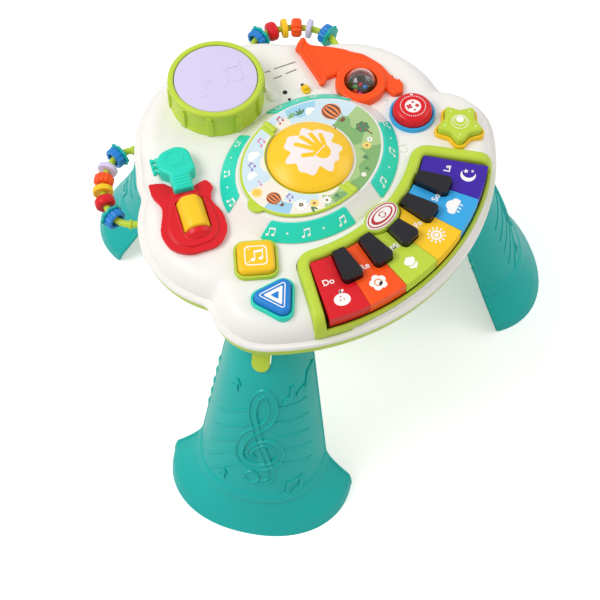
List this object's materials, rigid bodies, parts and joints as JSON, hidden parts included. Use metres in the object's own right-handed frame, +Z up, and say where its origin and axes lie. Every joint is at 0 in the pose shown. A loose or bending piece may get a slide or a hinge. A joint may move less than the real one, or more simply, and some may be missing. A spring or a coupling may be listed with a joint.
{
  "type": "musical activity table",
  "caption": "Toddler activity table: a lobed play deck with drum, fan of piano keys, flip page disc, guitar, horn and shape buttons on flared hollow legs, with bead bars at the back.",
  "frame": {"origin": "on the floor under the middle of the footprint of the feet", "axes": "+Z up from the floor to the deck, -Y to the piano side, +Y to the drum and the back leg"},
  "size_m": [0.5596, 0.5112, 0.343],
  "materials": {
    "white": "satin white moulded plastic",
    "lime": "satin lime plastic",
    "turquoise": "satin turquoise plastic",
    "aqua": "translucent aqua plastic",
    "orange": "satin orange plastic",
    "red": "satin red plastic",
    "yellow": "satin yellow plastic",
    "blue": "satin blue plastic",
    "sky": "satin sky blue plastic",
    "purple": "satin purple plastic",
    "lilac": "satin lilac plastic",
    "black": "gloss black plastic",
    "clear": "clear plastic",
    "board": "green circuit board",
    "cone": "black speaker frame and magnet",
    "cell": "printed cell jacket",
    "steel": "plated screws"
  },
  "bodies": {
    "table": {"top_shell": "white", "bottom_shell": "lime", "leg_back": "turquoise", "leg_left": "turquoise", "leg_right": "turquoise", "drum_shell": "lime", "guitar_body": "red", "guitar_neck": "aqua", "horn_body": "orange", "light_arcs": "aqua", "picture_plate": "white", "piano_frame": "lime", "square_base": "lime", "triangle_base": "aqua", "round_base": "blue", "star_base": "yellow", "bead_bars": "lime", "circuit_board": "board", "speaker": "cone", "batteries": "cell", "battery_door": "lime", "screws": "steel"},
    "drum_pad": {"drum_pad": "lilac"},
    "dome_button": {"dome_button": "yellow"},
    "mode_button": {"mode_button": "white"},
    "square_button": {"square_button": "yellow"},
    "triangle_button": {"triangle_button": "blue"},
    "round_button": {"round_button": "red"},
    "star_button": {"star_button": "lime"},
    "flip_page": {"flip_page": "lime"},
    "key_1": {"key_1": "red"},
    "key_2": {"key_2": "orange"},
    "key_3": {"key_3": "lime"},
    "key_4": {"key_4": "yellow"},
    "key_5": {"key_5": "sky"},
    "key_6": {"key_6": "purple"},
    "black_key_1": {"black_key_1": "black"},
    "black_key_2": {"black_key_2": "black"},
    "black_key_3": {"black_key_3": "black"},
    "black_key_4": {"black_key_4": "black"},
    "black_key_5": {"black_key_5": "black"},
    "guitar_roller": {"guitar_roller": "yellow"},
    "horn_ball": {"horn_ball": "clear", "horn_ball_beads": "red"},
    "switch_knob": {"switch_knob": "yellow"},
    "latch_back": {"latch_back": "lime"},
    "latch_left": {"latch_left": "lime"},
    "latch_right": {"latch_right": "lime"},
    "bead_left_1": {"bead_left_1": "turquoise"},
    "bead_left_2": {"bead_left_2": "lilac"},
    "bead_left_3": {"bead_left_3": "orange"},
    "bead_left_4": {"bead_left_4": "yellow"},
    "bead_left_5": {"bead_left_5": "red"},
    "bead_left_6": {"bead_left_6": "blue"},
    "bead_right_1": {"bead_right_1": "blue"},
    "bead_right_2": {"bead_right_2": "red"},
    "bead_right_3": {"bead_right_3": "yellow"},
    "bead_right_4": {"bead_right_4": "orange"},
    "bead_right_5": {"bead_right_5": "lilac"},
    "bead_right_6": {"bead_right_6": "turquoise"}
  },
  "joints": [
    {"name": "drum_press", "type": "slide", "parent": "table", "child": "drum_pad", "axis": [0, 0, 1], "range_m": [-0.002, 0], "stiffness_N_per_m": 800, "springref_m": 0.0015},
    {"name": "dome_press", "type": "slide", "parent": "table", "child": "dome_button", "axis": [0, 0, 1], "range_m": [-0.003, 0], "stiffness_N_per_m": 500, "springref_m": 0.002},
    {"name": "mode_press", "type": "slide", "parent": "table", "child": "mode_button", "axis": [0, 0, 1], "range_m": [-0.003, 0], "stiffness_N_per_m": 500, "springref_m": 0.002},
    {"name": "square_press", "type": "slide", "parent": "table", "child": "square_button", "axis": [0, 0, 1], "range_m": [-0.003, 0], "stiffness_N_per_m": 500, "springref_m": 0.002},
    {"name": "triangle_press", "type": "slide", "parent": "table", "child": "triangle_button", "axis": [0, 0, 1], "range_m": [-0.003, 0], "stiffness_N_per_m": 500, "springref_m": 0.002},
    {"name": "round_press", "type": "slide", "parent": "table", "child": "round_button", "axis": [0, 0, 1], "range_m": [-0.003, 0], "stiffness_N_per_m": 500, "springref_m": 0.002},
    {"name": "star_press", "type": "slide", "parent": "table", "child": "star_button", "axis": [0, 0, 1], "range_m": [-0.003, 0], "stiffness_N_per_m": 500, "springref_m": 0.002},
    {"name": "page_flip", "type": "hinge", "parent": "table", "child": "flip_page", "pos_m": [0, -0.05498, 0.3259], "axis": [0, 1, 0], "range_deg": [0, 180]},
    {"name": "key_1_press", "type": "hinge", "parent": "table", "child": "key_1", "pos_m": [-0.08223, -0.15537, 0.302], "axis": [0.9026, -0.4305, 0], "range_deg": [0, 3], "stiffness_Nm_per_rad": 0.3, "springref_deg": -3.44},
    {"name": "key_2_press", "type": "hinge", "parent": "table", "child": "key_2", "pos_m": [-0.0504, -0.16721, 0.302], "axis": [0.9646, -0.2639, 0], "range_deg": [0, 3], "stiffness_Nm_per_rad": 0.3, "springref_deg": -3.44},
    {"name": "key_3_press", "type": "hinge", "parent": "table", "child": "key_3", "pos_m": [-0.01698, -0.17322, 0.302], "axis": [0.996, -0.0889, 0], "range_deg": [0, 3], "stiffness_Nm_per_rad": 0.3, "springref_deg": -3.44},
    {"name": "key_4_press", "type": "hinge", "parent": "table", "child": "key_4", "pos_m": [0.01698, -0.17322, 0.302], "axis": [0.996, 0.0889, 0], "range_deg": [0, 3], "stiffness_Nm_per_rad": 0.3, "springref_deg": -3.44},
    {"name": "key_5_press", "type": "hinge", "parent": "table", "child": "key_5", "pos_m": [0.0504, -0.16721, 0.302], "axis": [0.9646, 0.2639, 0], "range_deg": [0, 3], "stiffness_Nm_per_rad": 0.3, "springref_deg": -3.44},
    {"name": "key_6_press", "type": "hinge", "parent": "table", "child": "key_6", "pos_m": [0.08223, -0.15537, 0.302], "axis": [0.9026, 0.4305, 0], "range_deg": [0, 3], "stiffness_Nm_per_rad": 0.3, "springref_deg": -3.44},
    {"name": "black_key_1_press", "type": "hinge", "parent": "table", "child": "black_key_1", "pos_m": [-0.06658, -0.162, 0.302], "axis": [0.9373, -0.3486, 0], "range_deg": [0, 3], "stiffness_Nm_per_rad": 0.3, "springref_deg": -3.44},
    {"name": "black_key_2_press", "type": "hinge", "parent": "table", "child": "black_key_2", "pos_m": [-0.03382, -0.17096, 0.302], "axis": [0.9842, -0.1771, 0], "range_deg": [0, 3], "stiffness_Nm_per_rad": 0.3, "springref_deg": -3.44},
    {"name": "black_key_3_press", "type": "hinge", "parent": "table", "child": "black_key_3", "pos_m": [0, -0.17398, 0.302], "axis": [1, 0, 0], "range_deg": [0, 3], "stiffness_Nm_per_rad": 0.3, "springref_deg": -3.44},
    {"name": "black_key_4_press", "type": "hinge", "parent": "table", "child": "black_key_4", "pos_m": [0.03382, -0.17096, 0.302], "axis": [0.9842, 0.1771, 0], "range_deg": [0, 3], "stiffness_Nm_per_rad": 0.3, "springref_deg": -3.44},
    {"name": "black_key_5_press", "type": "hinge", "parent": "table", "child": "black_key_5", "pos_m": [0.06658, -0.162, 0.302], "axis": [0.9373, 0.3486, 0], "range_deg": [0, 3], "stiffness_Nm_per_rad": 0.3, "springref_deg": -3.44},
    {"name": "roller_spin", "type": "hinge", "parent": "table", "child": "guitar_roller", "pos_m": [-0.12891, -0.01083, 0.314], "axis": [0.515, 0.8572, 0], "continuous": true},
    {"name": "ball_spin", "type": "hinge", "parent": "table", "child": "horn_ball", "pos_m": [0.116, -0.02398, 0.313], "axis": [0.766, 0.6428, 0], "continuous": true},
    {"name": "switch_slide", "type": "slide", "parent": "table", "child": "switch_knob", "axis": [0.3746, 0.9272, 0], "range_m": [0, 0.008]},
    {"name": "latch_back_press", "type": "slide", "parent": "table", "child": "latch_back", "axis": [0, -1, 0], "range_m": [0, 0.0025], "stiffness_N_per_m": 600, "springref_m": -0.002},
    {"name": "latch_left_press", "type": "slide", "parent": "table", "child": "latch_left", "axis": [0.866, 0.5, 0], "range_m": [0, 0.0025], "stiffness_N_per_m": 600, "springref_m": -0.002},
    {"name": "latch_right_press", "type": "slide", "parent": "table", "child": "latch_right", "axis": [-0.866, 0.5, 0], "range_m": [0, 0.0025], "stiffness_N_per_m": 600, "springref_m": -0.002},
    {"name": "bead_left_1_spin", "type": "hinge", "parent": "table", "child": "bead_left_1", "pos_m": [-0.11169, 0.12551, 0.272], "axis": [-0.9999, 0.0144, 0], "continuous": true},
    {"name": "bead_left_2_spin", "type": "hinge", "parent": "table", "child": "bead_left_2", "pos_m": [-0.12996, 0.12086, 0.272], "axis": [-0.9137, -0.4063, 0], "continuous": true},
    {"name": "bead_left_3_spin", "type": "hinge", "parent": "table", "child": "bead_left_3", "pos_m": [-0.14289, 0.11331, 0.272], "axis": [-0.803, -0.5959, 0], "continuous": true},
    {"name": "bead_left_4_spin", "type": "hinge", "parent": "table", "child": "bead_left_4", "pos_m": [-0.1532, 0.10388, 0.272], "axis": [-0.6647, -0.7471, 0], "continuous": true},
    {"name": "bead_left_5_spin", "type": "hinge", "parent": "table", "child": "bead_left_5", "pos_m": [-0.16186, 0.09167, 0.272], "axis": [-0.4856, -0.8742, 0], "continuous": true},
    {"name": "bead_left_6_spin", "type": "hinge", "parent": "table", "child": "bead_left_6", "pos_m": [-0.16887, 0.07099, 0.272], "axis": [-0.0521, -0.9986, 0], "continuous": true},
    {"name": "bead_right_1_spin", "type": "hinge", "parent": "table", "child": "bead_right_1", "pos_m": [0.11169, 0.12551, 0.272], "axis": [0.9999, 0.0144, 0], "continuous": true},
    {"name": "bead_right_2_spin", "type": "hinge", "parent": "table", "child": "bead_right_2", "pos_m": [0.12996, 0.12086, 0.272], "axis": [0.9137, -0.4063, 0], "continuous": true},
    {"name": "bead_right_3_spin", "type": "hinge", "parent": "table", "child": "bead_right_3", "pos_m": [0.14289, 0.11331, 0.272], "axis": [0.803, -0.5959, 0], "continuous": true},
    {"name": "bead_right_4_spin", "type": "hinge", "parent": "table", "child": "bead_right_4", "pos_m": [0.1532, 0.10388, 0.272], "axis": [0.6647, -0.7471, 0], "continuous": true},
    {"name": "bead_right_5_spin", "type": "hinge", "parent": "table", "child": "bead_right_5", "pos_m": [0.16186, 0.09167, 0.272], "axis": [0.4856, -0.8742, 0], "continuous": true},
    {"name": "bead_right_6_spin", "type": "hinge", "parent": "table", "child": "bead_right_6", "pos_m": [0.16887, 0.07099, 0.272], "axis": [0.0521, -0.9986, 0], "continuous": true}
  ]
}
